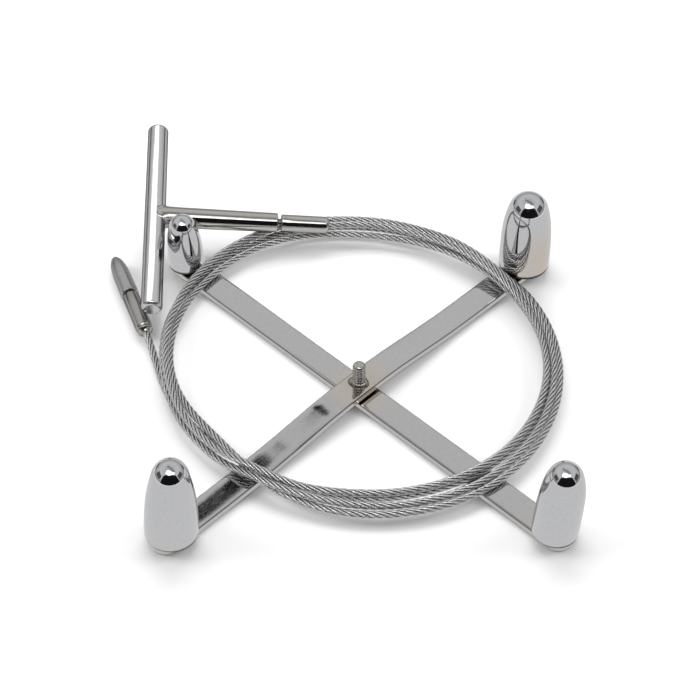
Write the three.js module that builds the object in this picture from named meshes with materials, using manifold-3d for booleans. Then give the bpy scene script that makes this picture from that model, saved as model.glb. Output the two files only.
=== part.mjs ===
// Vein stripper set: a cross-shaped storage rack of two flat bars, four screw-on bullet heads,
// and a coiled wire rope with a screwed T-handle at one end and a screwed nose tip at the other.
// Millimetres. +Z is up. The origin is on the underside of the lower bar, below the crossing.
// The bars run along the two diagonals. -Y is the front.
import * as THREE from 'three';
import Module from 'manifold-3d';
import { mergeVertices } from 'three/addons/utils/BufferGeometryUtils.js';

// Assembly gap left between neighbouring solids.
const GAP = 0.3;

// Rack.
const BAR_WIDTH = 9;
const BAR_THICK = 2.5;
const BAR_END_CENTRE = 82;
const BAR_CHAMFER = 0.3;
const CROSS_RISE = BAR_THICK + 0.7;

// Threaded studs.
const STUD_R = 2.0;
const STUD_ROOT_R = 1.68;
const STUD_PITCH = 0.8;
const STUD_HEIGHT = 8.4;

// Heads: distance out along the arm, base radius, height, tip radius, angle at which the flank
// meets the tip, and lean, in millimetres and degrees.
const BORE_R = STUD_R + 0.35;
const BORE_DEPTH = 9.2;
const HEADS = {
  front_left: { dx: -1, dy: -1, arm: 79.4, base: 8.05, height: 31.0, tip: 5.6, flank: 14, lean: 3 },
  front_right: { dx: 1, dy: -1, arm: 80.5, base: 7.05, height: 29.2, tip: 5.4, flank: 20, lean: 3 },
  rear_right: { dx: 1, dy: 1, arm: 79.2, base: 8.45, height: 30.1, tip: 6.6, flank: 18, lean: 0 },
  rear_left: { dx: -1, dy: 1, arm: 80.5, base: 6.0, height: 20.9, tip: 4.4, flank: 16, lean: -1.5 },
};

// Handle: crosspiece centre, point where the rope leaves the ferrule, and crosspiece direction.
const CROSSPIECE_CENTRE = new THREE.Vector3(-67.2, 66.6, 15.2);
const ROPE_EXIT = new THREE.Vector3(-9.3, 68.5, 8.75);
const CROSSPIECE_TILT = 8.5;
const CROSSPIECE_R = 3.5;
const CROSSPIECE_LENGTH = 76.5;
const STEM_R_TOP = 3.55;
const STEM_R_END = 3.25;
const STEM_END = 41.0;
const NECK = 1.2;
const FERRULE_R = 2.85;
const JOIN_THREAD_R = 1.5;
const JOIN_THREAD_ROOT_R = 1.26;
const JOIN_BORE_R = 1.85;
const JOIN_THREAD_LENGTH = 8;

// Wire rope and its coil.
const ROPE_R = 1.2;
const COIL_CENTRE = new THREE.Vector3(-1.1, 11.4, 0);
const COIL_INNER_R = 56;
const COIL_OUTER_R = 63.2;
const COIL_BOTTOM = 3.1;
const COIL_TOP = 5.6;

// Tip fitting lying on the table.
const TIP_Z = 3.05;
const TIP_ROPE_END = new THREE.Vector3(-68.42, 24.35, TIP_Z);
const TIP_JOIN = new THREE.Vector3(-74.84, 41.51, TIP_Z);
const TIP_POINT = new THREE.Vector3(-81.26, 59.28, TIP_Z);
const TIP_SPLIT = 0.8;
const SLEEVE_R = 2.75;
const NOSE_R = 3.0;
const TIP_THREAD_R = 1.45;
const TIP_BORE_R = 1.8;
const TIP_THREAD_LENGTH = 6;

const wasm = await Module();
wasm.setup();

const group = new THREE.Group();
group.name = 'vein_stripper_set';

function clean(geometry) {
  const bare = geometry.clone();
  bare.deleteAttribute('normal');
  bare.deleteAttribute('uv');
  return mergeVertices(bare, 1e-4);
}

function outward(geometry) {
  const g = clean(geometry);
  const p = g.attributes.position;
  const idx = g.index.array;
  const a = new THREE.Vector3();
  const b = new THREE.Vector3();
  const c = new THREE.Vector3();
  let volume = 0;
  for (let i = 0; i < idx.length; i += 3) {
    a.fromBufferAttribute(p, idx[i]);
    b.fromBufferAttribute(p, idx[i + 1]);
    c.fromBufferAttribute(p, idx[i + 2]);
    volume += a.dot(b.cross(c));
  }
  if (volume < 0) {
    for (let i = 0; i < idx.length; i += 3) {
      const swap = idx[i];
      idx[i] = idx[i + 1];
      idx[i + 1] = swap;
    }
  }
  g.computeVertexNormals();
  return g;
}

function toManifold(geometry) {
  const g = outward(geometry);
  const mesh = new wasm.Mesh({
    numProp: 3,
    vertProperties: new Float32Array(g.attributes.position.array),
    triVerts: new Uint32Array(g.index.array),
  });
  return new wasm.Manifold(mesh);
}

function fromManifold(body) {
  const mesh = body.getMesh();
  const g = new THREE.BufferGeometry();
  g.setAttribute('position', new THREE.BufferAttribute(new Float32Array(mesh.vertProperties), 3));
  g.setIndex(new THREE.BufferAttribute(new Uint32Array(mesh.triVerts), 1));
  g.computeVertexNormals();
  return g;
}

// Turns a profile of [radius, height] pairs about +Z.
function turned(profile, segments) {
  const points = profile.map(([r, h]) => new THREE.Vector2(r, h));
  const g = new THREE.LatheGeometry(points, segments);
  g.rotateX(Math.PI / 2);
  return g;
}

function add(name, geometry, colour, matrix = new THREE.Matrix4()) {
  const g = outward(geometry);
  g.applyMatrix4(matrix);
  const material = new THREE.MeshStandardMaterial({ color: colour, metalness: 1, roughness: 0.3 });
  const mesh = new THREE.Mesh(g, material);
  mesh.name = name;
  group.add(mesh);
}

// Matrix that carries the local +Z axis onto a direction and the local origin onto a point.
function along(origin, direction, side) {
  const z = direction.clone().normalize();
  const guess = side ? side.clone() : new THREE.Vector3(0, 0, 1);
  const x = guess.addScaledVector(z, -guess.dot(z)).normalize();
  const y = new THREE.Vector3().crossVectors(z, x);
  return new THREE.Matrix4().makeBasis(x, y, z).setPosition(origin);
}

function planOutline(chamfer) {
  const half = BAR_WIDTH / 2 - chamfer;
  const shape = new THREE.Shape();
  shape.moveTo(-BAR_END_CENTRE, -half);
  shape.lineTo(BAR_END_CENTRE, -half);
  shape.absarc(BAR_END_CENTRE, 0, half, -Math.PI / 2, Math.PI / 2, false);
  shape.lineTo(-BAR_END_CENTRE, half);
  shape.absarc(-BAR_END_CENTRE, 0, half, Math.PI / 2, Math.PI * 1.5, false);
  return shape;
}

// Lower bar: flat on the table, edges broken all round.
const lowerBar = new THREE.ExtrudeGeometry(planOutline(BAR_CHAMFER), {
  depth: BAR_THICK - 2 * BAR_CHAMFER,
  bevelEnabled: true,
  bevelThickness: BAR_CHAMFER,
  bevelSize: BAR_CHAMFER,
  bevelSegments: 1,
  curveSegments: 12,
});
lowerBar.translate(0, 0, BAR_CHAMFER);
add('rack_lower_bar', lowerBar, 0x9a9a98, new THREE.Matrix4().makeRotationZ(-Math.PI / 4));

// Upper bar: rides over the lower one and comes down to the table before its ends.
const RISE_STATIONS = [
  [62, 0],
  [56, 0.07],
  [48, 0.25],
  [40, 0.6],
  [32, 1.2],
  [24, 2.0],
  [16, 2.8],
  [8, CROSS_RISE],
];
const side = new THREE.Shape();
const reach = BAR_END_CENTRE + BAR_WIDTH;
side.moveTo(-reach, 0);
RISE_STATIONS.forEach(([s, z]) => side.lineTo(-s, z));
[...RISE_STATIONS].reverse().forEach(([s, z]) => side.lineTo(s, z));
side.lineTo(reach, 0);
side.lineTo(reach, BAR_THICK);
RISE_STATIONS.forEach(([s, z]) => side.lineTo(s, z + BAR_THICK));
[...RISE_STATIONS].reverse().forEach(([s, z]) => side.lineTo(-s, z + BAR_THICK));
side.lineTo(-reach, BAR_THICK);
const ribbon = new THREE.ExtrudeGeometry(side, { depth: BAR_WIDTH + 4, bevelEnabled: false });
ribbon.rotateX(Math.PI / 2);
ribbon.translate(0, BAR_WIDTH / 2 + 2, 0);
const planBlock = new THREE.ExtrudeGeometry(planOutline(0), {
  depth: 10,
  bevelEnabled: false,
  curveSegments: 12,
});
planBlock.translate(0, 0, -2);
const upperBar = fromManifold(toManifold(ribbon).intersect(toManifold(planBlock)));
add('rack_upper_bar', upperBar, 0x9a9a98, new THREE.Matrix4().makeRotationZ(Math.PI / 4));

// Profile of a threaded rod with a domed end, standing on height 0.
function threadProfile(major, root, pitch, length, from = 0) {
  const profile = [[0, from], [root, from]];
  const turns = Math.floor((length - from - major * 0.45) / pitch);
  for (let i = 0; i < turns; i += 1) {
    profile.push([major, from + (i + 0.5) * pitch]);
    profile.push([root, from + (i + 1) * pitch]);
  }
  profile.push([root * 0.72, length - major * 0.12]);
  profile.push([0, length]);
  return profile;
}

const studProfile = threadProfile(STUD_R, STUD_ROOT_R, STUD_PITCH, STUD_HEIGHT - GAP);
const crossTop = CROSS_RISE + BAR_THICK;
add('centre_stud', turned(studProfile, 18), 0xa8a59e,
  new THREE.Matrix4().makeTranslation(0, 0, crossTop + GAP));

// Weld bead around the foot of the centre stud.
const beadInner = STUD_R + GAP + 0.05;
const bead = turned([
  [beadInner, 0],
  [beadInner + 1.15, 0],
  [beadInner + 0.95, 0.5],
  [beadInner + 0.45, 0.95],
  [beadInner, 1.05],
  [beadInner, 0],
], 24);
add('centre_weld', bead, 0x8c7f6b, new THREE.Matrix4().makeTranslation(0, 0, crossTop + GAP));

// Bullet head: rounded rim, long flank that curves in, round tip, blind bore from below.
function headProfile({ base, height, tip, flank }) {
  const angle = THREE.MathUtils.degToRad(flank);
  const joinR = tip * Math.cos(angle);
  const joinZ = height - tip + tip * Math.sin(angle);
  const power = Math.tan(angle) * joinZ / (base - joinR);
  const rim = 0.5;
  const profile = [[0, BORE_DEPTH], [BORE_R, BORE_DEPTH], [BORE_R, 0], [base - rim, 0]];
  profile.push([base - rim * 0.3, rim * 0.3]);
  const steps = 8;
  for (let i = 0; i <= steps; i += 1) {
    const z = rim + (joinZ - rim) * i / steps;
    profile.push([base - (base - joinR) * (z / joinZ) ** power, z]);
  }
  const caps = 5;
  for (let i = 1; i < caps; i += 1) {
    const a = angle + (Math.PI / 2 - angle) * i / caps;
    profile.push([tip * Math.cos(a), height - tip + tip * Math.sin(a)]);
  }
  profile.push([0, height]);
  return profile;
}

for (const [place, head] of Object.entries(HEADS)) {
  const lean = THREE.MathUtils.degToRad(head.lean);
  const x = head.dx * head.arm * Math.SQRT1_2;
  const y = head.dy * head.arm * Math.SQRT1_2;
  const tilt = new THREE.Matrix4().makeRotationY(lean);
  const headLift = BAR_THICK + GAP + head.base * Math.abs(Math.sin(lean));
  const studLift = BAR_THICK + GAP + STUD_R * Math.abs(Math.sin(lean));
  const headPose = new THREE.Matrix4().makeTranslation(x, y, headLift).multiply(tilt);
  const studPose = new THREE.Matrix4().makeTranslation(x, y, studLift).multiply(tilt);
  add(`stud_${place}`, turned(studProfile, 14), 0xa8a59e, studPose);
  add(`head_${place}`, turned(headProfile(head), 36), 0xc9c8c4, headPose);
}

// Handle frame: local +Z runs down the stem to the rope, local +X runs up the crosspiece.
const stemDir = ROPE_EXIT.clone().sub(CROSSPIECE_CENTRE).normalize();
const reachToExit = ROPE_EXIT.distanceTo(CROSSPIECE_CENTRE);
const tiltRad = THREE.MathUtils.degToRad(CROSSPIECE_TILT);
const crossGuess = new THREE.Vector3(-0.042, Math.cos(tiltRad), Math.sin(tiltRad));
const handlePose = along(CROSSPIECE_CENTRE, stemDir, crossGuess);

const half = CROSSPIECE_LENGTH / 2;
const crosspiece = turned([
  [0, -half],
  [CROSSPIECE_R - 1.3, -half],
  [CROSSPIECE_R - 0.65, -half + 0.18],
  [CROSSPIECE_R - 0.18, -half + 0.65],
  [CROSSPIECE_R, -half + 1.3],
  [CROSSPIECE_R, half - 1.3],
  [CROSSPIECE_R - 0.18, half - 0.65],
  [CROSSPIECE_R - 0.65, half - 0.18],
  [CROSSPIECE_R - 1.3, half],
  [0, half],
], 36);
crosspiece.rotateY(Math.PI / 2);
add('handle_crosspiece', crosspiece, 0xbdbdbb, handlePose);

// Stem: tapered rod whose end is coped to the crosspiece.
const stemStart = 1.2;
const rod = new THREE.CylinderGeometry(STEM_R_END, STEM_R_TOP, STEM_END - stemStart, 36);
rod.rotateX(Math.PI / 2);
rod.translate(0, 0, (STEM_END + stemStart) / 2);
const cope = new THREE.CylinderGeometry(CROSSPIECE_R + GAP, CROSSPIECE_R + GAP, 20, 48);
cope.rotateZ(Math.PI / 2);
const stem = fromManifold(toManifold(rod).subtract(toManifold(cope)));
add('handle_stem', stem, 0xbdbdbb, handlePose);

// Threaded spigot that screws into the ferrule.
const spigot = turned(
  threadProfile(JOIN_THREAD_R, JOIN_THREAD_ROOT_R, 0.7, GAP + JOIN_THREAD_LENGTH, GAP), 14);
spigot.translate(0, 0, STEM_END);
add('handle_thread', spigot, 0x8f8e8a, handlePose);

// Ferrule crimped on the rope, with a blind bore facing the handle.
const ferruleStart = STEM_END + NECK;
const ferrule = turned([
  [0, ferruleStart + JOIN_THREAD_LENGTH],
  [JOIN_BORE_R, ferruleStart + JOIN_THREAD_LENGTH],
  [JOIN_BORE_R, ferruleStart],
  [FERRULE_R - 0.3, ferruleStart],
  [FERRULE_R, ferruleStart + 0.3],
  [FERRULE_R, reachToExit - 1.2],
  [FERRULE_R - 0.35, reachToExit - 0.4],
  [FERRULE_R - 0.9, reachToExit],
  [0, reachToExit],
], 32);
add('ferrule', ferrule, 0xb4b4b1, handlePose);

// Wire rope: a tube swept along a hand-placed curve.
function tube(points, steps) {
  const curve = new THREE.CatmullRomCurve3(points, false, 'centripetal');
  const section = new THREE.Shape();
  for (let i = 0; i < 8; i += 1) {
    const a = (i + 0.5) * Math.PI / 4;
    const px = ROPE_R * Math.cos(a);
    const py = ROPE_R * Math.sin(a);
    if (i === 0) section.moveTo(px, py);
    else section.lineTo(px, py);
  }
  section.closePath();
  return new THREE.ExtrudeGeometry(section, { steps, extrudePath: curve, bevelEnabled: false });
}

function onCoil(degrees, radius, z) {
  const a = THREE.MathUtils.degToRad(degrees);
  return new THREE.Vector3(
    COIL_CENTRE.x + radius * Math.cos(a),
    COIL_CENTRE.y + radius * Math.sin(a),
    z,
  );
}

const leadPoints = [
  ROPE_EXIT.clone().addScaledVector(stemDir, GAP),
  ROPE_EXIT.clone().addScaledVector(stemDir, 4),
  onCoil(89, 58.0, 7.75),
  onCoil(82, 58.6, 7.4),
  onCoil(74, 59.2, 7.25),
  onCoil(66, 59.6, 7.2),
];
add('rope_lead', tube(leadPoints, 9), 0xaaa9a5);

const coilMid = (COIL_BOTTOM + COIL_TOP) / 2;
const coilRing = turned([
  [COIL_INNER_R, coilMid - 0.4],
  [COIL_INNER_R + 0.5, COIL_BOTTOM + 0.3],
  [COIL_INNER_R + 1.2, COIL_BOTTOM],
  [COIL_OUTER_R - 1.2, COIL_BOTTOM],
  [COIL_OUTER_R - 0.5, COIL_BOTTOM + 0.3],
  [COIL_OUTER_R, coilMid - 0.4],
  [COIL_OUTER_R, coilMid + 0.4],
  [COIL_OUTER_R - 0.5, COIL_TOP - 0.3],
  [COIL_OUTER_R - 1.2, COIL_TOP],
  [COIL_INNER_R + 1.2, COIL_TOP],
  [COIL_INNER_R + 0.5, COIL_TOP - 0.3],
  [COIL_INNER_R, coilMid + 0.4],
  [COIL_INNER_R, coilMid - 0.4],
], 72);
add('rope_coil', coilRing, 0xaaa9a5,
  new THREE.Matrix4().makeTranslation(COIL_CENTRE.x, COIL_CENTRE.y, 0));

const tipDir = TIP_POINT.clone().sub(TIP_ROPE_END).normalize();
const tailPoints = [
  TIP_ROPE_END.clone().addScaledVector(tipDir, -GAP),
  new THREE.Vector3(-67.35, 21.4, 2.65),
  new THREE.Vector3(-66.3, 18.3, 2.0),
  new THREE.Vector3(-65.3, 14.5, 1.55),
  new THREE.Vector3(-64.4, 10.5, 1.45),
  new THREE.Vector3(-63.5, 6.5, 1.45),
];
add('rope_tail', tube(tailPoints, 5), 0xaaa9a5);

// Tip fitting: sleeve crimped on the rope, threaded spigot, and the bullet nose that screws on.
const tipPose = along(TIP_ROPE_END, tipDir);
const joinAt = TIP_ROPE_END.distanceTo(TIP_JOIN);
const pointAt = TIP_ROPE_END.distanceTo(TIP_POINT);
const sleeveEnd = joinAt - TIP_SPLIT / 2;
const sleeve = turned([
  [0, 0],
  [1.5, 0],
  [2.2, 0.9],
  [2.5, 1.5],
  [SLEEVE_R, 2.6],
  [SLEEVE_R, sleeveEnd - 0.25],
  [SLEEVE_R - 0.25, sleeveEnd],
  [0, sleeveEnd],
], 32);
add('tip_sleeve', sleeve, 0xb4b4b1, tipPose);

const tipSpigot = turned(
  threadProfile(TIP_THREAD_R, TIP_THREAD_R - 0.22, 0.7, GAP + TIP_THREAD_LENGTH, GAP), 14);
tipSpigot.translate(0, 0, sleeveEnd);
add('tip_thread', tipSpigot, 0x8f8e8a, tipPose);

const noseStart = joinAt + TIP_SPLIT / 2;
const noseBoreEnd = noseStart + TIP_THREAD_LENGTH;
const noseRound = 9.5;
const noseProfile = [
  [0, noseBoreEnd],
  [TIP_BORE_R, noseBoreEnd],
  [TIP_BORE_R, noseStart],
  [NOSE_R - 0.25, noseStart],
  [NOSE_R, noseStart + 0.25],
];
const noseWaist = 0.93;
const noseSteps = 8;
for (let i = 0; i < noseSteps; i += 1) {
  const a = Math.PI / 2 * i / noseSteps;
  const shrink = noseWaist + (1 - noseWaist) * Math.max(0, 1 - (i + 1) / 2);
  const flank = NOSE_R * shrink * Math.cos(a) ** 0.85;
  noseProfile.push([flank, pointAt - noseRound + noseRound * Math.sin(a)]);
}
noseProfile.push([0, pointAt]);
add('tip_nose', turned(noseProfile, 32), 0xc2c2bf, tipPose);

export default group;
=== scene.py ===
import math

import bmesh
import bpy
import numpy as np
from mathutils import Matrix, Vector


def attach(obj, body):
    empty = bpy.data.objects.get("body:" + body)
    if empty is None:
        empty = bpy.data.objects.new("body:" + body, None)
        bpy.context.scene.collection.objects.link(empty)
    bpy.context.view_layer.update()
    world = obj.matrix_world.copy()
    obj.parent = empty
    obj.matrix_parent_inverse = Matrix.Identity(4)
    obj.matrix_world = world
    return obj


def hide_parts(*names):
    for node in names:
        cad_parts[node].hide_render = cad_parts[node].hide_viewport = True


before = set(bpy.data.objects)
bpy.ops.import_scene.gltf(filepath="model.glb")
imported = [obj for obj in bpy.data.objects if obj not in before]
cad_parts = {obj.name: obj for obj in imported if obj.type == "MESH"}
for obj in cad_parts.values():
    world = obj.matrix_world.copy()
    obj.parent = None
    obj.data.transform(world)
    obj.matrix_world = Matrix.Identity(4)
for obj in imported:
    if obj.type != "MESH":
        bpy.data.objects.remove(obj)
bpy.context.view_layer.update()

MM = 0.001
TURN, QUARTER = 2 * math.pi, math.pi / 2
DIAGONAL = math.sqrt(0.5)

# ---------------------------------------------------------------- dimensions in millimetres, as in the CAD
BAR_W, BAR_T, BAR_END = 9.0, 2.5, 82.0
RISE = [  # underside of the upper bar: distance from the crossing, height
    (0, 3.2), (8, 3.2), (16, 2.8), (24, 2.0), (32, 1.2), (40, 0.6), (48, 0.25), (56, 0.07), (62, 0.0), (90, 0.0),
]
TOP = RISE[0][1] + BAR_T
GAP = 0.3  # left under a stud
STUD_R, STUD_LENGTH = 2.0, 8.1
HEADS = {  # side in x, side in y, arm, base radius, height, tip radius, flank angle, lean
    "front_left": (-1, -1, 79.4, 8.05, 31.0, 5.6, 14, 3.0),
    "front_right": (1, -1, 80.5, 7.05, 29.2, 5.4, 20, 3.0),
    "rear_right": (1, 1, 79.2, 8.45, 30.1, 6.6, 18, 0.0),
    "rear_left": (-1, 1, 80.5, 6.0, 20.9, 4.4, 16, -1.5),
}
CROSS = Vector((-67.2, 66.6, 15.2))  # centre of the handle's crosspiece
EXIT = Vector((-9.3, 68.5, 8.75))  # where the rope leaves the ferrule
TILT, CROSS_R, CROSS_LEN = 8.5, 3.5, 76.5
STEM_END, NECK = 41.0, 1.2
# Tip fitting: back of the sleeve, joint of sleeve and nose, point of the nose.
TIP_A, TIP_JOIN, TIP_B = Vector((-68.42, 24.35, 3.05)), Vector((-74.84, 41.51, 3.05)), Vector((-81.26, 59.28, 3.05))
ROPE_D = 2.4


def head_xy(head):
    side_x, side_y, arm = head[:3]
    return side_x * arm * DIAGONAL, side_y * arm * DIAGONAL


# ---------------------------------------------------------------- camera
AZIMUTH, ELEVATION, DISTANCE = math.radians(0.646), math.radians(47.13), 0.618
LOOK_AT = Vector((-0.00265, 0.01916, 0.0))
cam_data = bpy.data.cameras.new("camera")
cam = bpy.data.objects.new("camera", cam_data)
bpy.context.scene.collection.objects.link(cam)
bpy.context.scene.camera = cam
forward = Vector((
    math.sin(AZIMUTH) * math.cos(ELEVATION), math.cos(AZIMUTH) * math.cos(ELEVATION), -math.sin(ELEVATION)))
cam.location = LOOK_AT - forward * DISTANCE
cam.rotation_mode = "QUATERNION"
cam.rotation_quaternion = forward.to_track_quat("-Z", "Y")
cam_data.sensor_width = 36.0
cam_data.lens = 98.38
cam_data.clip_start, cam_data.clip_end = 0.01, 20.0


# ---------------------------------------------------------------- mesh helpers
# A mesh here is (verts in mm, faces, one uv in mm for every face corner).
def piece(name, mesh, mat, body, stands_for, sharp=40):
    verts, faces, uvs = mesh
    me = bpy.data.meshes.new(name)
    me.from_pydata([tuple(c * MM for c in v) for v in verts], [], faces)
    layer = me.uv_layers.new(name="UVMap")
    layer.data.foreach_set("uv", np.asarray(uvs, dtype=np.float32).ravel())
    me.polygons.foreach_set("use_smooth", [True] * len(me.polygons))
    me.update()
    me.set_sharp_from_angle(angle=math.radians(sharp))
    ob = bpy.data.objects.new(name, me)
    bpy.context.scene.collection.objects.link(ob)
    me.materials.append(mat)
    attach(ob, body)
    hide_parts(*stands_for)
    return ob


def mark_round(ob, value_of_vertex):
    """A second map, Round, whose u says how much painted shade steel() puts on each corner."""
    layer = ob.data.uv_layers.new(name="Round")
    for loop in ob.data.loops:
        layer.data[loop.index].uv = (value_of_vertex(loop.vertex_index), 0.0)
    ob.data.uv_layers.active_index = 0


def circle(n):
    return np.linspace(0, TURN, n, endpoint=False)


def round_uv(radius, n, v):
    """The uvs of a ring of n points, back to its start."""
    return [(TURN * radius * j / n, v) for j in range(n + 1)]


def loft(rings, uv_rings):
    """Quads between equal rings of points, closed at both ends with a fan."""
    n = len(rings[0])
    verts = [tuple(p) for ring in rings for p in ring]
    faces, uvs = [], []
    for i in range(len(rings) - 1):
        ua, ub = uv_rings[i], uv_rings[i + 1]
        for j in range(n):
            k = (j + 1) % n
            faces.append((i * n + j, i * n + k, (i + 1) * n + k, (i + 1) * n + j))
            uvs += [ua[j], ua[j + 1], ub[j + 1], ub[j]]
    for ring, flip in ((0, True), (len(rings) - 1, False)):
        centre = len(verts)
        verts.append(tuple(np.mean(np.asarray(rings[ring]), axis=0)))
        u = uv_rings[ring]
        for j in range(n):
            a, b = ring * n + j, ring * n + (j + 1) % n
            faces.append((centre, b, a) if flip else (centre, a, b))
            uvs += [u[j], u[j + 1], u[j]] if flip else [u[j], u[j], u[j + 1]]
    return verts, faces, uvs


def joined(meshes):
    verts, faces, uvs = [], [], []
    for v, f, u in meshes:
        base = len(verts)
        verts += v
        faces += [tuple(x + base for x in face) for face in f]
        uvs += u
    return verts, faces, uvs


def turned(profile, pose, segments=72):
    """Lathe about local Z. A profile of (radius, height) starts and ends on the axis; pose is a 4x4 in mm."""
    widest = max(r for r, h in profile)
    rings, uv = [], []
    walked = 0.0
    for i, (r, h) in enumerate(profile):
        if i:
            walked += math.hypot(r - profile[i - 1][0], h - profile[i - 1][1])
        r = max(r, 1e-4)
        rings.append([tuple(pose @ Vector((r * math.cos(a), r * math.sin(a), h))) for a in circle(segments)])
        uv.append(round_uv(widest, segments, walked))
    return loft(rings, uv)


def screw(major, root, pitch, length, pose, start, segments=40, per_turn=8):
    """A right-hand V thread from start to length, with a domed end."""
    heights = list(np.arange(start, length - 1e-6, pitch / per_turn)) + [length]
    dome_length, run_in = major * 0.55, pitch * 0.8
    valley, flank = 0.12, 0.68  # shares of half a pitch
    rings, uv = [], []
    for h in heights:
        to_end = min(1.0, max(0.0, (length - h) / dome_length))
        dome = math.sqrt(max(0.0, 1 - (1 - to_end) ** 2.4))
        depth = min(1.0, (h - start) / run_in)
        ring = []
        for a in circle(segments):
            t = (h / pitch - a / TURN) % 1.0
            crest = min(1.0, max(0.0, (1 - abs(2 * t - 1) - valley) / flank))
            r = root + (major - root) * crest * depth
            r = min(r, max(0.02, major * (0.30 + 0.70 * dome)))
            ring.append(tuple(pose @ Vector((r * math.cos(a), r * math.sin(a), h))))
        rings.append(ring)
        uv.append(round_uv(major, segments, h))
    return loft(rings, uv)


def along(origin, direction, side=Vector((0, 0, 1))):
    """A pose with Z along direction and X as near to side as it can be."""
    z = direction.normalized()
    x = (side - z * side.dot(z)).normalized()
    y = z.cross(x)
    m = Matrix((x, y, z)).transposed().to_4x4()
    m.translation = origin
    return m


# ---------------------------------------------------------------- materials
def empty_material(name):
    mat = bpy.data.materials.new(name)
    mat.use_nodes = True
    mat.node_tree.nodes.clear()
    return mat, mat.node_tree


def add_node(nt, kind, **values):
    """A node with its settings, or its inputs where it has no such setting."""
    n = nt.nodes.new(kind)
    for key, value in values.items():
        if hasattr(n, key):
            setattr(n, key, value)
        else:
            n.inputs[key].default_value = value
    return n


def map_range(nt, value, from_min, from_max, to_min, to_max, eased=True):
    n = nt.nodes.new("ShaderNodeMapRange")
    if eased:
        n.interpolation_type = "SMOOTHSTEP"
    for key, number in (("From Min", from_min), ("From Max", from_max), ("To Min", to_min), ("To Max", to_max)):
        n.inputs[key].default_value = number
    nt.links.new(value, n.inputs["Value"])
    return n.outputs[0]


def shaded(nt, colour, amount):
    """colour times amount."""
    mix = add_node(nt, "ShaderNodeMix", data_type="RGBA", blend_type="MULTIPLY")
    mix.inputs["Factor"].default_value = 1.0
    nt.links.new(colour, mix.inputs[6])
    nt.links.new(amount, mix.inputs[7])
    return mix.outputs[2]


def axis_of(nt, vector, axis):
    split = nt.nodes.new("ShaderNodeSeparateXYZ")
    nt.links.new(vector, split.inputs[0])
    return split.outputs[axis]


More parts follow.
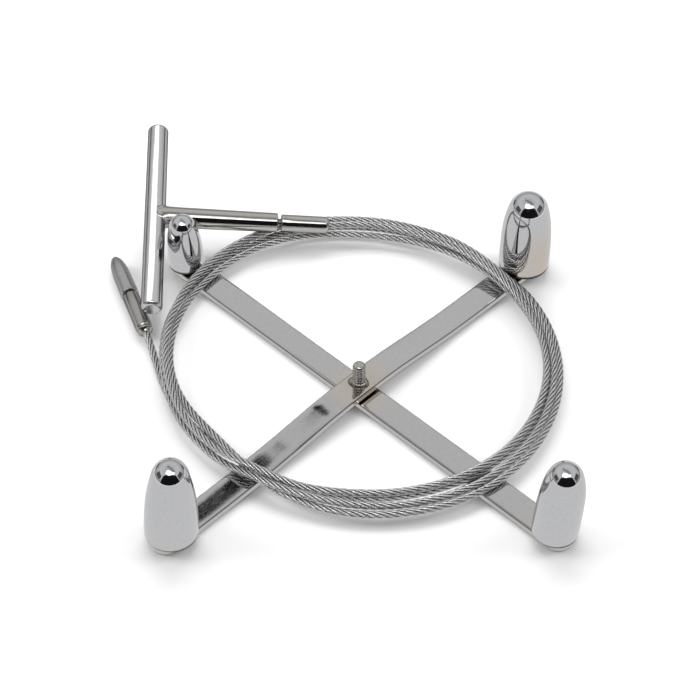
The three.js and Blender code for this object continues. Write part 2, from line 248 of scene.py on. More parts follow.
def steel(name, colour, rough, grain, grain_rough, dark=0.82, bump=0.02, smudge=0.05, tints=(), edge=1.0,
          foot=None, painted_edge_shade=None):
    """Polished or brushed steel.
    grain: streaks along u and v, in lines a millimetre. grain_rough: how far they swing the roughness.
    dark: what is left of the colour in the darkest streaks. bump: height of the streaks in mm.
    smudge: roughness that broad smudges add. edge: strength of the reflection at grazing angles.
    tints: (centre in mm, radius in mm, colour, strength) for patches of colour: heat colour round welds, and on the
    heads a painted warm reflection and a warmer patch.
    foot: (low, high, shade) paints contact shade: it darkens the steel from high down to low, in mm above the table.
    across: paints shade and dark reflection along edges and grooves: what is left of the colour where the map Round
    is 0.30 or more; 0.14 and less is left as it is."""
    mat, nt = empty_material(name)
    out = nt.nodes.new("ShaderNodeOutputMaterial")
    bsdf = nt.nodes.new("ShaderNodeBsdfPrincipled")
    bsdf.inputs["Metallic"].default_value = 1.0
    bsdf.inputs["Specular Tint"].default_value = (edge, edge, edge, 1)
    nt.links.new(bsdf.outputs[0], out.inputs[0])
    uv = add_node(nt, "ShaderNodeUVMap", uv_map="UVMap")
    stretch = add_node(nt, "ShaderNodeMapping", Scale=(grain[0], grain[1], 1.0))
    nt.links.new(uv.outputs[0], stretch.inputs["Vector"])
    fine = add_node(nt, "ShaderNodeTexNoise", Scale=1.0, Detail=5.0, Roughness=0.65)
    nt.links.new(stretch.outputs[0], fine.inputs["Vector"])
    where = nt.nodes.new("ShaderNodeTexCoord").outputs["Object"]
    cloud = add_node(nt, "ShaderNodeTexNoise", Scale=95.0, Detail=4.0, Roughness=0.6)
    nt.links.new(where, cloud.inputs["Vector"])
    # Roughness: streaks about the base value, then broad smudges.
    streak = map_range(nt, fine.outputs[0], 0.3, 0.7, rough - grain_rough, rough + grain_rough, eased=False)
    patch = map_range(nt, cloud.outputs[0], 0.35, 0.7, 0.0, smudge, eased=False)
    total = add_node(nt, "ShaderNodeMath", operation="ADD", use_clamp=True)
    nt.links.new(streak, total.inputs[0])
    nt.links.new(patch, total.inputs[1])
    nt.links.new(total.outputs[0], bsdf.inputs["Roughness"])
    # Colour: the streaks darken it a little, then come the tints, the painted contact shade at the foot and the
    # painted shade along the marked edges.
    ramp = nt.nodes.new("ShaderNodeValToRGB")
    ramp.color_ramp.elements[0].position = 0.28
    ramp.color_ramp.elements[0].color = (*[c * dark for c in colour], 1)
    ramp.color_ramp.elements[1].position = 0.62
    ramp.color_ramp.elements[1].color = (*colour, 1)
    nt.links.new(fine.outputs[0], ramp.inputs[0])
    last = ramp.outputs[0]
    # Tints: heat colour round welds, and on the heads a painted warm reflection.
    for centre, radius, tint, strength in tints:
        far = add_node(nt, "ShaderNodeVectorMath", operation="DISTANCE")
        far.inputs[1].default_value = tuple(c * MM for c in centre)
        nt.links.new(where, far.inputs[0])
        wobble = add_node(nt, "ShaderNodeMath", operation="MULTIPLY_ADD")
        wobble.inputs[1].default_value = radius * MM * 0.5
        nt.links.new(cloud.outputs[0], wobble.inputs[0])
        nt.links.new(far.outputs["Value"], wobble.inputs[2])
        fade = map_range(nt, wobble.outputs[0], radius * MM * 1.25, radius * MM * 0.35, 0.0, strength)
        mix = add_node(nt, "ShaderNodeMix", data_type="RGBA")
        nt.links.new(fade, mix.inputs["Factor"])
        nt.links.new(last, mix.inputs[6])
        mix.inputs[7].default_value = (*tint, 1)
        last = mix.outputs[2]
    # Painted contact shade: darker towards the table.
    if foot:
        low, high, shade = foot
        last = shaded(nt, last, map_range(nt, axis_of(nt, where, "Z"), low * MM, high * MM, shade, 1.0))
    # Painted shade and painted dark reflection along the edges and grooves that the map Round marks.
    if painted_edge_shade:
        marked = add_node(nt, "ShaderNodeUVMap", uv_map="Round")
        last = shaded(nt, last, map_range(nt, axis_of(nt, marked.outputs[0], "X"), 0.30, 0.14, painted_edge_shade, 1.0))
    nt.links.new(last, bsdf.inputs["Base Color"])
    relief = add_node(nt, "ShaderNodeBump", Strength=1.0, Distance=bump * MM)
    nt.links.new(fine.outputs[0], relief.inputs["Height"])
    nt.links.new(relief.outputs[0], bsdf.inputs["Normal"])
    return mat


STRAW, BROWN, REFLECTED_BEIGE, PALE = (0.66, 0.58, 0.47), (0.42, 0.35, 0.27), (0.66, 0.575, 0.485), (0.66, 0.63, 0.59)
BAR_TINTS = [((0, 0, 4), 17, STRAW, 0.6), ((0, 0, 4), 8, BROWN, 0.22)]
BAR_TINTS += [((*head_xy(head), BAR_T), 15, STRAW, 0.45) for head in HEADS.values()]
# A painted warm reflection on the right side of the rear right head, and a warmer patch at the front of the front
# left head's foot.
HEAD_REFLECTION_AND_TINT = [((66, 46, 8), 20, REFLECTED_BEIGE, 1.0), ((-60, -64, 0), 12, PALE, 0.5)]
# The bars get painted shade along their lower edges and a painted dark reflection along their upper edges; their
# tints are heat colour round the welds.
m_bar = steel("rack_steel", (0.60, 0.60, 0.605), 0.06, (0.5, 3.0), 0.025,
              dark=0.90, bump=0.004, smudge=0.05, tints=BAR_TINTS, painted_edge_shade=0.12)
m_stud = steel("stud_steel", (0.60, 0.59, 0.57), 0.14, (0.4, 9.0), 0.05, dark=0.6, bump=0.02, edge=0.35)
m_weld = steel("weld_steel", (0.46, 0.43, 0.39), 0.16, (1.6, 1.6), 0.08, dark=0.5, bump=0.10, edge=0.3)
# The heads get painted contact shade at their foot.
m_head = steel("head_steel", (0.66, 0.665, 0.68), 0.05, (0.7, 0.9), 0.015,
               dark=0.92, bump=0.001, smudge=0.04, tints=HEAD_REFLECTION_AND_TINT, foot=(3.6, 4.5, 0.04))
m_handle = steel("handle_steel", (0.70, 0.70, 0.71), 0.13, (9.0, 0.08), 0.05,
                 dark=0.86, bump=0.01, smudge=0.05, edge=0.12)
m_stem = steel("stem_steel", (0.60, 0.585, 0.56), 0.06, (0.05, 6.0), 0.03, dark=0.88, bump=0.004, edge=0.20)
m_fit = steel("fitting_steel", (0.60, 0.585, 0.56), 0.08, (0.05, 6.0), 0.03, dark=0.86, bump=0.005, edge=0.25)
m_sleeve = steel("sleeve_steel", (0.50, 0.485, 0.46), 0.16, (0.05, 6.0), 0.05,
                 dark=0.8, bump=0.01, smudge=0.08, edge=0.2)
m_nose = steel("nose_steel", (0.52, 0.52, 0.52), 0.24, (0.05, 6.0), 0.05,
               dark=0.85, bump=0.01, smudge=0.08, edge=0.35)
# The rope gets painted shade in the grooves between its strands.
m_rope = steel("rope_steel", (0.92, 0.92, 0.92), 0.12, (3.0, 1.3), 0.05,
               dark=0.50, bump=0.10, smudge=0.03, edge=0.5, painted_edge_shade=0.06)


# ---------------------------------------------------------------- wire rope
HUB = np.array([0.3, 10.6])
START = 99  # bearing of the ferrule's mouth from the hub, in degrees
# Turn by turn from the ferrule, clockwise: (bearing, radius about the hub).
ROUTE = [
    [(99, 58.8), (90, 59.0), (75, 59.2), (50, 57.5), (20, 58.5), (-10, 59.6), (-40, 59.2), (-60, 57.6),
     (-75, 56.6), (-95, 55.2), (-120, 56.3), (-130, 57.4), (-140, 58.4), (-160, 60.2), (-180, 61.8),
     (-200, 63.0), (-220, 65.4), (-242, 66.0)],
    [(99, 65.2), (75, 62.4), (50, 59.7), (20, 61.0), (-10, 62.0), (-40, 62.4), (-70, 61.1), (-95, 59.0),
     (-120, 58.2), (-140, 59.5), (-160, 61.2), (-180, 62.6), (-200, 64.4), (-220, 64.9), (-242, 65.0)],
    [(99, 62.5), (75, 60.9), (50, 60.4), (39, 61.4), (30, 62.9), (20, 62.9), (-10, 63.9), (-40, 64.6),
     (-60, 64.1), (-75, 63.1), (-95, 61.4), (-108, 59.6), (-120, 57.4), (-135, 55.4), (-148, 55.0),
     (-160, 56.9), (-170, 59.2), (-180, 60.6), (-200, 62.2), (-220, 62.4), (-242, 62.2)],
    [(106, 60.4), (97, 58.8), (88, 57.9), (78, 57.4), (66, 57.9), (55, 58.6), (40, 58.3), (20, 59.0),
     (10, 59.6), (-25, 60.0), (-40, 59.4), (-60, 57.6), (-75, 56.6), (-95, 55.4), (-120, 54.2),
     (-138, 55.0), (-152, 57.2), (-162, 59.4), (-170, 61.8), (-176, 63.7), (-180, 64.9)],
]
FLOOR_Z = 3.95  # height of the rope's axis where it lies on the rack
# Degrees round the last turn, highest the axis may be: it dips below the others on its way to the tip.
DIP = [(0, FLOOR_Z), (238, FLOOR_Z), (247, 3.2), (254, 2.2), (260, 1.6), (265, 1.42), (320, 1.42)]
# Degrees round the first turn, lowest the axis may be: it comes down off the ferrule.
LEAD = [(0, 8.62), (8, 8.2), (18, 7.5), (30, 6.8), (45, 6.2), (60, 0.0)]
CLEAR = 0.04  # between turns that lie on each other
TAIL = [(-65.3, 14.5, 1.55), (-66.3, 18.3, 2.0), (-67.35, 21.4, 2.65)]  # from the coil up to the sleeve
LAY = 15.6  # length in which a strand goes once round the rope
STRANDS, STRAND_R, STRAND_AT, SIDES = 6, 0.405, 0.795, 9


def interp(x, table):
    return np.interp(x, [row[0] for row in table], [row[1] for row in table])


def smooth(values, width):
    """Gaussian blur with the ends held."""
    k = np.exp(-0.5 * (np.arange(-3 * width, 3 * width + 1) / width) ** 2)
    k /= k.sum()
    padded = np.concatenate([np.full(3 * width, values[0]), values, np.full(3 * width, values[-1])])
    return np.convolve(padded, k, "valid")


def rope_path():
    """Points along the rope's axis, and how far along it each lies."""
    table = [(START - bearing + 360 * k, r) for k, turn in enumerate(ROUTE) for bearing, r in turn]
    steps = np.arange(0, table[-1][0] + 1)
    bearings = START - steps
    r = smooth(interp(steps, table), 7)
    last_turn = 360 * (len(ROUTE) - 1)
    z = np.minimum(FLOOR_Z, interp(steps - last_turn, DIP))
    # Each turn rests on the turns laid before it, which are the ones nearer the tip.
    for i in range(len(steps) - 1, -1, -1):
        for k in range(1, len(ROUTE)):
            for s in range(-3, 4):
                j = i + 360 * k + s
                if j < len(steps):
                    dr = abs(r[i] - r[j])
                    if dr < ROPE_D:
                        z[i] = max(z[i], z[j] + math.sqrt(ROPE_D ** 2 - dr ** 2) + CLEAR)
    z = smooth(np.maximum(z, interp(steps, LEAD)), 4)
    coil = [(HUB[0] + r[i] * math.cos(math.radians(bearings[i])),
             HUB[1] + r[i] * math.sin(math.radians(bearings[i])), z[i]) for i in range(len(steps))]
    stem_dir = (EXIT - CROSS).normalized()
    lead = [tuple(EXIT + stem_dir * t) for t in (-4.0, -2.0, 0.0, 2.0)]
    tip_dir = (TIP_B - TIP_A).normalized()
    tail = TAIL + [tuple(TIP_A), tuple(TIP_A + tip_dir * 3.0)]
    raw = np.array(lead + coil[5:-1:3] + tail)
    for _ in range(2):
        raw[2:-2] = 0.25 * raw[1:-3] + 0.5 * raw[2:-2] + 0.25 * raw[3:-1]
    return raw, np.concatenate([[0], np.cumsum(np.linalg.norm(np.diff(raw, axis=0), axis=1))])


def resampled(raw, d, step):
    """A smooth curve through raw at an even step, and how far along it each point lies."""
    s = np.linspace(0, d[-1], int(d[-1] / step))
    slope = np.gradient(raw, d, axis=0)
    out = []
    for q, i in zip(s, np.clip(np.searchsorted(d, s) - 1, 0, len(d) - 2)):
        h = d[i + 1] - d[i]
        t = (q - d[i]) / h
        at_a, leave_a = 2 * t ** 3 - 3 * t ** 2 + 1, t ** 3 - 2 * t ** 2 + t
        at_b, reach_b = -2 * t ** 3 + 3 * t ** 2, t ** 3 - t ** 2
        out.append(at_a * raw[i] + leave_a * h * slope[i] + at_b * raw[i + 1] + reach_b * h * slope[i + 1])
    return np.array(out), s


def unit(vectors):
    return vectors / np.linalg.norm(vectors, axis=1)[:, None]


def strand(k):
    """One strand of the rope."""
    phase = TURN * (arc / LAY + k / STRANDS)
    outward = up * np.cos(phase)[:, None] + right * np.sin(phase)[:, None]
    sideways = -up * np.sin(phase)[:, None] + right * np.cos(phase)[:, None]
    centre = line + outward * STRAND_AT
    rings, uv = [], []
    for i in range(len(line)):
        rings.append([tuple(centre[i] + STRAND_R * (math.cos(a) * outward[i] + math.sin(a) * sideways[i]))
                      for a in circle(SIDES)])
        uv.append([(TURN * STRAND_R * j / SIDES + arc[i] * 0.35, arc[i]) for j in range(SIDES + 1)])
    return loft(rings, uv)


def side_of_strand(vertex):
    """How far round its strand a vertex is from the rope's outside, from 0 to 0.5 of a turn."""
    side = (vertex % (len(line) * SIDES + 2)) % SIDES
    return min(side, SIDES - side) / SIDES


raw, dist = rope_path()
line, arc = resampled(raw, dist, 0.75)
tangent = unit(np.gradient(line, axis=0))
up = unit(np.array([0, 0, 1.0]) - tangent * tangent[:, 2:3])
right = np.cross(tangent, up)
rope = piece("wire_rope", joined([strand(k) for k in range(STRANDS)]), m_rope, "cable",
             ["rope_lead", "rope_coil", "rope_tail"], sharp=80)
# Painted shade in the grooves between the strands.
mark_round(rope, side_of_strand)


# ---------------------------------------------------------------- rack
def half_section(w, bottom):
    """Half the outline of a bar of half width w, from a lower corner to near the middle of its top.
    The last number of a row is what the map Round says there: painted shade at the lower corner and a painted dark
    reflection along the upper edge."""
    c = min(0.30, w * 0.4)  # corner
    e = min(1.1, w * 0.6)  # width over which the top rolls off
    t = bottom + BAR_T
    return [
        (w - c, bottom, 0.5), (w, bottom + c, 0.28), (w, bottom + c + 0.3, 0.0), (w, t - c - 0.5, 0.0),
        (w, t - c - 0.06, 0.27), (w - 0.25 * c, t - 0.45 * c - 0.05, 0.27), (w - c, t - 0.07, 0.17),
        (w - 0.65 * e, t - 0.025, 0.0), (w - e, t - 0.004, 0.0), (0.3 * w, t, 0.0),
    ]


def bar(name, angle, rises, stands_for):
    """A flat bar with round ends."""
    stations = list(np.linspace(-BAR_END, BAR_END, 83))
    cap = [BAR_END + BAR_W / 2 * math.sin(t) for t in np.linspace(0, QUARTER, 15)[1:]]
    stations = [-s for s in reversed(cap)] + stations + cap
    ca, sa = math.cos(angle), math.sin(angle)
    rings, uv = [], []
    for s in stations:
        over = max(0.0, abs(s) - BAR_END)
        w = max(math.sqrt(max(0.0, (BAR_W / 2) ** 2 - over ** 2)), 0.02)
        half = half_section(w, interp(abs(s), RISE) if rises else 0.0)
        section = [(y, z) for y, z, mark in half] + [(-y, z) for y, z, mark in reversed(half)]
        rings.append([(s * ca - y * sa, s * sa + y * ca, z) for y, z in section])
        walk = [0.0]
        for (y0, z0), (y1, z1) in zip(section, section[1:] + section[:1]):
            walk.append(walk[-1] + math.hypot(y1 - y0, z1 - z0))
        uv.append([(s, q) for q in walk])
    ob = piece(name, loft(rings, uv), m_bar, "rack", stands_for, sharp=38)
    # Painted shade along the lower edges and painted dark reflection along the upper edges.
    marks = [mark for y, z, mark in half_section(BAR_W / 2, 0.0)]
    marks += marks[::-1]
    mark_round(ob, lambda k: marks[k % len(marks)] if k < len(rings) * len(marks) else 0.5)


bar("lower_bar_detail", -math.pi / 4, False, ["rack_lower_bar"])
bar("upper_bar_detail", math.pi / 4, True, ["rack_upper_bar"])
piece("centre_stud_detail",
      screw(STUD_R, 1.62, 0.9, STUD_LENGTH, Matrix.Translation((0, 0, TOP + GAP)), -0.25, segments=56, per_turn=12),
      m_stud, "rack", ["centre_stud"], sharp=50)


def bead(centre, inner, outer, height, lumps):
    """A fillet of weld metal round a stud, uneven all round. lumps: (bearing, size, width), in radians."""
    segments, rows, phase = 72, 10, 1.3
    rings, uv = [], []
    for i in range(rows + 1):
        q = i / rows * QUARTER
        ring = []
        for j in range(segments):
            a = TURN * j / segments
            swell = 1 + 0.10 * math.sin(2 * a + phase) + 0.05 * math.sin(5 * a + 2 * phase) + 0.03 * math.sin(17 * a)
            for at, size, width in lumps:
                off = (a - at + math.pi) % TURN - math.pi
                swell += size * math.exp(-(off / width) ** 2)
            r = inner + (outer - inner) * swell * math.cos(q) ** 0.9
            z = height * (0.75 + 0.25 * swell) * math.sin(q)
            ring.append((centre[0] + r * math.cos(a), centre[1] + r * math.sin(a), centre[2] + z))
        rings.append(ring)
        uv.append(round_uv(outer, segments, i * 0.3))
    return loft(rings, uv)


LUMPS = [(math.radians(170), 0.85, 0.45), (math.radians(-30), 0.55, 0.5)]
piece("centre_weld_detail", bead((0, 0, TOP + 0.02), 1.7, 2.7, 1.1, LUMPS),
      m_weld, "rack", ["centre_weld"], sharp=70)


def head_profile(base, height, tip, flank):
    """Blind bore, flat foot, rounded rim, curved flank and domed tip."""
    bore_r, bore_depth, chamfer, rim = 2.35, 9.2, 0.35, 0.55
    join_r, join_z = tip * math.cos(flank), height - tip + tip * math.sin(flank)
    power = math.tan(flank) * join_z / (base - join_r)
    prof = [(0, bore_depth), (bore_r, bore_depth), (bore_r, chamfer), (bore_r + chamfer, 0.0), (base - rim, 0.0)]
    prof += [(base - rim + rim * math.sin(t), rim - rim * math.cos(t)) for t in np.linspace(0, QUARTER, 7)[1:]]
    prof += [(base - (base - join_r) * (z / join_z) ** power, z) for z in np.linspace(rim, join_z, 30)[1:]]
    prof += [(tip * math.cos(t), height - tip + tip * math.sin(t)) for t in np.linspace(flank, QUARTER, 16)[1:]]
    return prof


for place, head in HEADS.items():
    base, height, tip, flank, lean = head[3:]
    tilt = Matrix.Rotation(math.radians(lean), 4, "Y")
    x, y = head_xy(head)
    raised = abs(math.sin(math.radians(lean)))  # keeps a leaning foot clear of the bar
    stud_pose = Matrix.Translation((x, y, BAR_T + GAP + STUD_R * raised)) @ tilt
    piece("stud_%s_detail" % place, screw(STUD_R, 1.66, 0.8, STUD_LENGTH, stud_pose, -0.2),
          m_stud, "rack", ["stud_" + place], sharp=50)
    head_pose = Matrix.Translation((x, y, BAR_T + GAP + base * raised)) @ tilt
    piece("head_%s_detail" % place, turned(head_profile(base, height, tip, math.radians(flank)), head_pose, 96),
          m_head, "head_" + place, ["head_" + place], sharp=45)


# ---------------------------------------------------------------- handle and ferrule
reach = (EXIT - CROSS).length
cross_dir = Vector((-0.042, math.cos(math.radians(TILT)), math.sin(math.radians(TILT))))
handle_pose = along(CROSS, EXIT - CROSS, cross_dir)


def rounded_rod(r, half, edge):
    turn = [(edge * math.sin(t), edge * math.cos(t)) for t in np.linspace(0, QUARTER, 10)]
    prof = [(0, -half), (r - edge, -half)]
    prof += [(r - edge + s, -half + edge - c) for s, c in turn[1:]]
    prof += [(r, -half + edge + (2 * half - 2 * edge) * t) for t in (0.25, 0.5, 0.75)]
    prof += [(r - edge + c, half - edge + s) for s, c in turn]
    return prof + [(0, half)]


def stem(segments=80):
    """Tapered, its foot coped onto the crosspiece with a small fillet, its far end rounded."""
    foot_r, taper, taper_length = 3.55, 0.30, 36.0
    flare, flare_length, widest, end_round = 0.75, 0.75, 3.95, 0.45
    near_end = STEM_END - 3.4
    heights = [0.0, 0.35, 0.8, 1.4, 2.2] + list(np.linspace(3.5, near_end, 12))
    heights += [near_end + d for d in (0.3, 1.2, 2.0, 2.6, 3.0, 3.22, 3.4)]
    rings, uv = [], []
    for h in heights:
        r = min(foot_r - taper * min(1.0, h / taper_length) + flare * math.exp(-h / flare_length), widest)
        into_end = h - STEM_END + end_round
        if into_end > 0:
            r -= end_round - math.sqrt(max(0.0, end_round ** 2 - into_end ** 2))
        ring = []
        for j in range(segments):
            a = TURN * j / segments
            px, py = r * math.cos(a), r * math.sin(a)
            cope = math.sqrt(max(0.0, (CROSS_R - 0.02) ** 2 - min(abs(py), CROSS_R - 0.05) ** 2))
            ring.append(tuple(handle_pose @ Vector((px, py, cope + (STEM_END - cope) * (h / STEM_END)))))
        rings.append(ring)
        uv.append(round_uv(CROSS_R, segments, h))
    return loft(rings, uv)


def blob(centre, size, v):
    """A small ball of weld metal."""
    rings, uv = [], []
    for i in range(1, 8):
        t = math.pi * i / 8
        rings.append([(centre.x + size * math.sin(t) * math.cos(q), centre.y + size * math.sin(t) * math.sin(q),
                       centre.z - size * math.cos(t)) for q in circle(14)])
        uv.append([(j * 0.2, i * 0.2 + v) for j in range(15)])
    return loft(rings, uv)


def handle_weld(count=26, r=3.42, proud=0.12):
    """Overlapping blobs round the joint of stem and crosspiece."""
    blobs = []
    for k in range(count):
        a = TURN * k / count
        px, py = r * math.cos(a), r * math.sin(a)
        h = math.sqrt(max(0.0, CROSS_R ** 2 - min(abs(py), CROSS_R) ** 2)) + proud
        size = 0.50 + 0.16 * math.sin(5.3 * k) + 0.08 * math.sin(2.1 * k)
        blobs.append(blob(handle_pose @ Vector((px, py, h)), size, k))
    return joined(blobs)


rod = turned(rounded_rod(CROSS_R, CROSS_LEN / 2, 1.3), handle_pose @ Matrix.Rotation(QUARTER, 4, "Y"), 80)
crosspiece = piece("crosspiece_detail", rod, m_handle, "handle", ["handle_crosspiece"], sharp=35)
piece("stem_detail", stem(), m_stem, "handle", ["handle_stem"], sharp=40)
piece("handle_weld_detail", handle_weld(), m_stem, "handle", ["handle_stem"], sharp=80)
piece("handle_thread_detail", screw(1.5, 1.24, 0.7, 8.2, handle_pose @ Matrix.Translation((0, 0, STEM_END)), -0.1),
      m_stud, "handle", ["handle_thread"], sharp=50)

mouth = STEM_END + NECK
prof = [(0, mouth + 8.3), (1.85, mouth + 8.3), (1.85, mouth + 0.2), (2.05, mouth), (2.5, mouth),
        (2.72, mouth + 0.1), (2.85, mouth + 0.35)]
prof += [(2.85, mouth + q) for q in (4, 8, 12)]
prof += [(2.85, reach - 1.5), (2.78, reach - 0.9), (2.55, reach - 0.4), (2.1, reach - 0.08), (1.6, reach), (0, reach)]
piece("ferrule_detail", turned(prof, handle_pose), m_fit, "cable", ["ferrule"], sharp=45)

# ---------------------------------------------------------------- tip fitting
tip_pose = along(TIP_A, TIP_B - TIP_A)
join_at, point_at = (TIP_JOIN - TIP_A).length, (TIP_B - TIP_A).length
sleeve_end, nose_start = join_at - 0.4, join_at + 0.4
prof = [(0, 0), (1.28, 0), (1.42, 0.10), (1.55, 0.45), (1.9, 0.85), (2.35, 1.05), (2.5, 1.25), (2.52, 1.75),
        (2.38, 1.95), (2.38, 2.15), (2.62, 2.4), (2.75, 2.8), (2.75, 3.2), (2.75, 7), (2.75, 11),
        (2.75, sleeve_end - 0.3), (2.66, sleeve_end - 0.08), (2.45, sleeve_end), (0, sleeve_end)]
sleeve = piece("tip_sleeve_detail", turned(prof, tip_pose, 64), m_sleeve,
               "cable", ["tip_sleeve"], sharp=45)
thread = piece("tip_thread_detail",
               screw(1.45, 1.2, 0.7, 6.2, tip_pose @ Matrix.Translation((0, 0, sleeve_end)), -0.1, segments=36),
               m_stud, "cable", ["tip_thread"], sharp=50)
prof = [(0, nose_start + 6.2), (1.8, nose_start + 6.2), (1.8, nose_start), (2.7, nose_start),
        (2.91, nose_start + 0.08), (3.0, nose_start + 0.3), (2.98, nose_start + 2), (2.93, nose_start + 4)]
prof += [(2.86 * math.cos(t) ** 0.88, point_at - 9.5 + 9.5 * math.sin(t)) for t in np.linspace(0, QUARTER, 22)[:-1]]
prof.append((0, point_at))
nose = piece("tip_nose_detail", turned(prof, tip_pose, 64), m_nose, "nose", ["tip_nose"], sharp=45)


# ---------------------------------------------------------------- floor and what the metal reflects, in metres
def plain(name, colour, glow=0.0):
    mat = bpy.data.materials.new(name)
    mat.use_nodes = True
    b = mat.node_tree.nodes["Principled BSDF"]
    b.inputs["Base Color"].default_value = (*colour, 1)
    b.inputs["Roughness"].default_value = 0.8
    b.inputs["Specular IOR Level"].default_value = 0.0
    b.inputs["Emission Color"].default_value = (1, 1, 1, 1)
    b.inputs["Emission Strength"].default_value = glow
    return mat


def glowing(name, strength=1.0):
    """A material that only emits. Returns it and its emission node."""
    mat, nt = empty_material(name)
    em = nt.nodes.new("ShaderNodeEmission")
    em.inputs["Color"].default_value = (1, 1, 1, 1)
    em.inputs["Strength"].default_value = strength
    nt.links.new(em.outputs[0], nt.nodes.new("ShaderNodeOutputMaterial").inputs[0])
    return mat, em


def staged(name, me, mat):
    me.materials.append(mat)
    ob = bpy.data.objects.new(name, me)
    bpy.context.scene.collection.objects.link(ob)
    return ob


def aim(ob, at, target, axis):
    ob.location = at
    ob.rotation_mode = "QUATERNION"
    ob.rotation_quaternion = (Vector(target) - Vector(at)).to_track_quat(axis, "Y")


def panel(name, at, target, w, h, mat):
    """A flat stage panel that faces target."""
    me = bpy.data.meshes.new(name)
    corners = [(-w / 2, -h / 2, 0), (w / 2, -h / 2, 0), (w / 2, h / 2, 0), (-w / 2, h / 2, 0)]
    me.from_pydata(corners, [], [(0, 1, 2, 3)])
    ob = staged(name, me, mat)
    aim(ob, at, target, "Z")
    return ob


def dome(name, radius, mat):
    """The upper half of a ball about the origin."""
    bm = bmesh.new()
    bmesh.ops.create_uvsphere(bm, u_segments=48, v_segments=24, radius=radius)
    bmesh.ops.delete(bm, geom=[v for v in bm.verts if v.co.z < -0.01], context="VERTS")
    me = bpy.data.meshes.new(name)
    bm.to_mesh(me)
    bm.free()
    return staged(name, me, mat)


def reflected_only(ob):
    ob.visible_camera = ob.visible_diffuse = ob.visible_shadow = False
    ob.visible_transmission = ob.visible_volume_scatter = False


def toward(az, el, d):
    """A point d metres away, az degrees right of the front and el degrees up."""
    a, e = math.radians(az), math.radians(el)
    return Vector((math.sin(a) * math.cos(e), -math.cos(a) * math.cos(e), math.sin(e))) * d


def room_grey(radius):
    """The walls and ceiling round the table: mid grey, darker low down and overhead."""
    mat, em = glowing("room_grey")
    nt = mat.node_tree
    where = nt.nodes.new("ShaderNodeTexCoord").outputs["Object"]
    scale = add_node(nt, "ShaderNodeMath", operation="MULTIPLY")
    scale.inputs[1].default_value = 1 / radius
    nt.links.new(axis_of(nt, where, "Z"), scale.inputs[0])
    ramp = nt.nodes.new("ShaderNodeValToRGB")
    steps = [(0.0, 0.34), (0.30, 0.50), (0.62, 0.72), (0.85, 0.68), (1.0, 0.50)]
    while len(ramp.color_ramp.elements) < len(steps):
        ramp.color_ramp.elements.new(0.5)
    for element, (at, value) in zip(ramp.color_ramp.elements, steps):
        element.position = at
        element.color = (value, value, value, 1)
    nt.links.new(scale.outputs[0], ramp.inputs[0])
    nt.links.new(ramp.outputs[0], em.inputs["Color"])
    return mat


floor = panel("floor", (0, 0, -0.0001), (0, 0, 1), 8, 8, plain("floor_white", (0.9, 0.9, 0.9)))
floor.visible_glossy = False
# Away from the object the floor glows a little, so that it stays as pale as it is under the lights.
floor_nt = floor.data.materials[0].node_tree
from_middle = add_node(floor_nt, "ShaderNodeVectorMath", operation="LENGTH")
floor_nt.links.new(floor_nt.nodes.new("ShaderNodeTexCoord").outputs["Object"], from_middle.inputs[0])
floor_nt.links.new(map_range(floor_nt, from_middle.outputs["Value"], 0.15, 1.1, 0.0, 0.9),
                   floor_nt.nodes["Principled BSDF"].inputs["Emission Strength"])
table_grey = plain("table_grey", (0.55, 0.545, 0.54), glow=0.50)
reflected_only(panel("table_in_reflections", (0, 0, -0.0003), (0, 0, 1), 8, 8, table_grey))
ROOM_R = 2.6
reflected_only(dome("room_in_reflections", ROOM_R, room_grey(ROOM_R)))
backdrop = dome("backdrop", 3.4, glowing("backdrop_white")[0])
backdrop.visible_diffuse = backdrop.visible_glossy = backdrop.visible_shadow = False

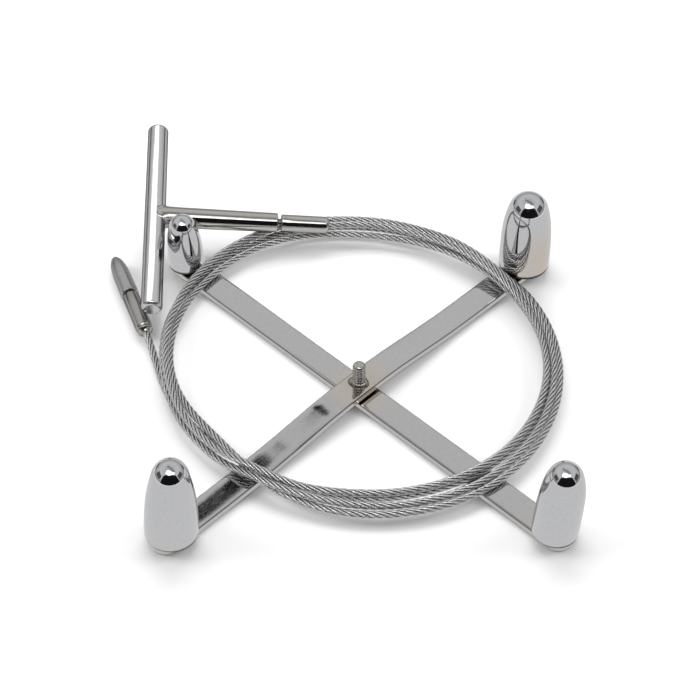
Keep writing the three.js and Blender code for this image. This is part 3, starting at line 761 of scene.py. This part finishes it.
for *shape, material, strength in (  # name, place, what it faces, width, height, material, strength
    ("front_card", (0.04, -0.60, 0.50), (0.04, 0, 0.50), 1.50, 0.98, "card_black", 0.008),
    ("left_window", toward(-24, 72, 1.1), (0, 0, 0), 0.50, 0.46, "window_white", 3.0),
    ("right_window", toward(18, 65, 1.1), (0, 0, 0), 0.80, 0.24, "window_white_strip", 2.8),
    ("overhead_bar", (0.10, 0.12, 0.9), (0, 0, 0), 0.95, 0.14, "bar_grey", 0.25),
    ("back_left_card", (-1.3, 1.2, 0.10), (0, 0, 0.10), 0.7, 0.55, "card_grey_left", 0.06),
    ("back_right_card", (1.3, 1.2, 0.10), (0, 0, 0.10), 0.7, 0.55, "card_grey_right", 0.06),
    ("left_card", (-1.3, -0.25, 0.62), (0, 0, 0.1), 0.9, 0.60, "card_grey_far_left", 0.10),
    ("right_card", (1.3, -0.25, 0.62), (0, 0, 0.1), 0.9, 0.60, "card_grey_far_right", 0.10),
    ("back_card", (-0.094, 0.437, 0.634), (-0.05, -0.05, 0), 0.054, 0.056, "card_dark", 0.004),
):
    reflected_only(panel(*shape, glowing(material, strength)[0]))


# ---------------------------------------------------------------- lights and world
def softbox(name, at, target, w, h, power):
    data = bpy.data.lights.new(name, "AREA")
    data.shape = "RECTANGLE"
    data.size, data.size_y = w, h
    data.energy = power
    ob = bpy.data.objects.new(name, data)
    bpy.context.scene.collection.objects.link(ob)
    aim(ob, at, target, "-Z")
    ob.visible_glossy = False
    return ob


softbox("left_softbox", (-0.95, 0.10, 0.60), (0, 0, 0), 0.55, 0.75, 6.0)
softbox("right_softbox", (0.95, 0.10, 0.60), (0, 0, 0), 0.55, 0.75, 5.5)
softbox("back_softbox", (-0.05, 0.55, 0.95), (0, 0, 0), 0.85, 0.50, 6.2)
# The band of light along the crosspiece, which nothing else catches.
band = softbox("handle_softbox", (-0.271, 0.42, 0.703), tuple(CROSS * MM), 0.80, 0.40, 1.7)
band.visible_glossy = True
only = bpy.data.collections.new("lit_by_handle_softbox")
only.objects.link(crosspiece)
band.light_linking.receiver_collection = only

bpy.context.scene.view_settings.view_transform = "Standard"
world = bpy.data.worlds.new("studio")
bpy.context.scene.world = world
world.use_nodes = True
background = world.node_tree.nodes["Background"]
background.inputs["Color"].default_value = (1.0, 1.0, 1.0, 1)
background.inputs["Strength"].default_value = 0.52
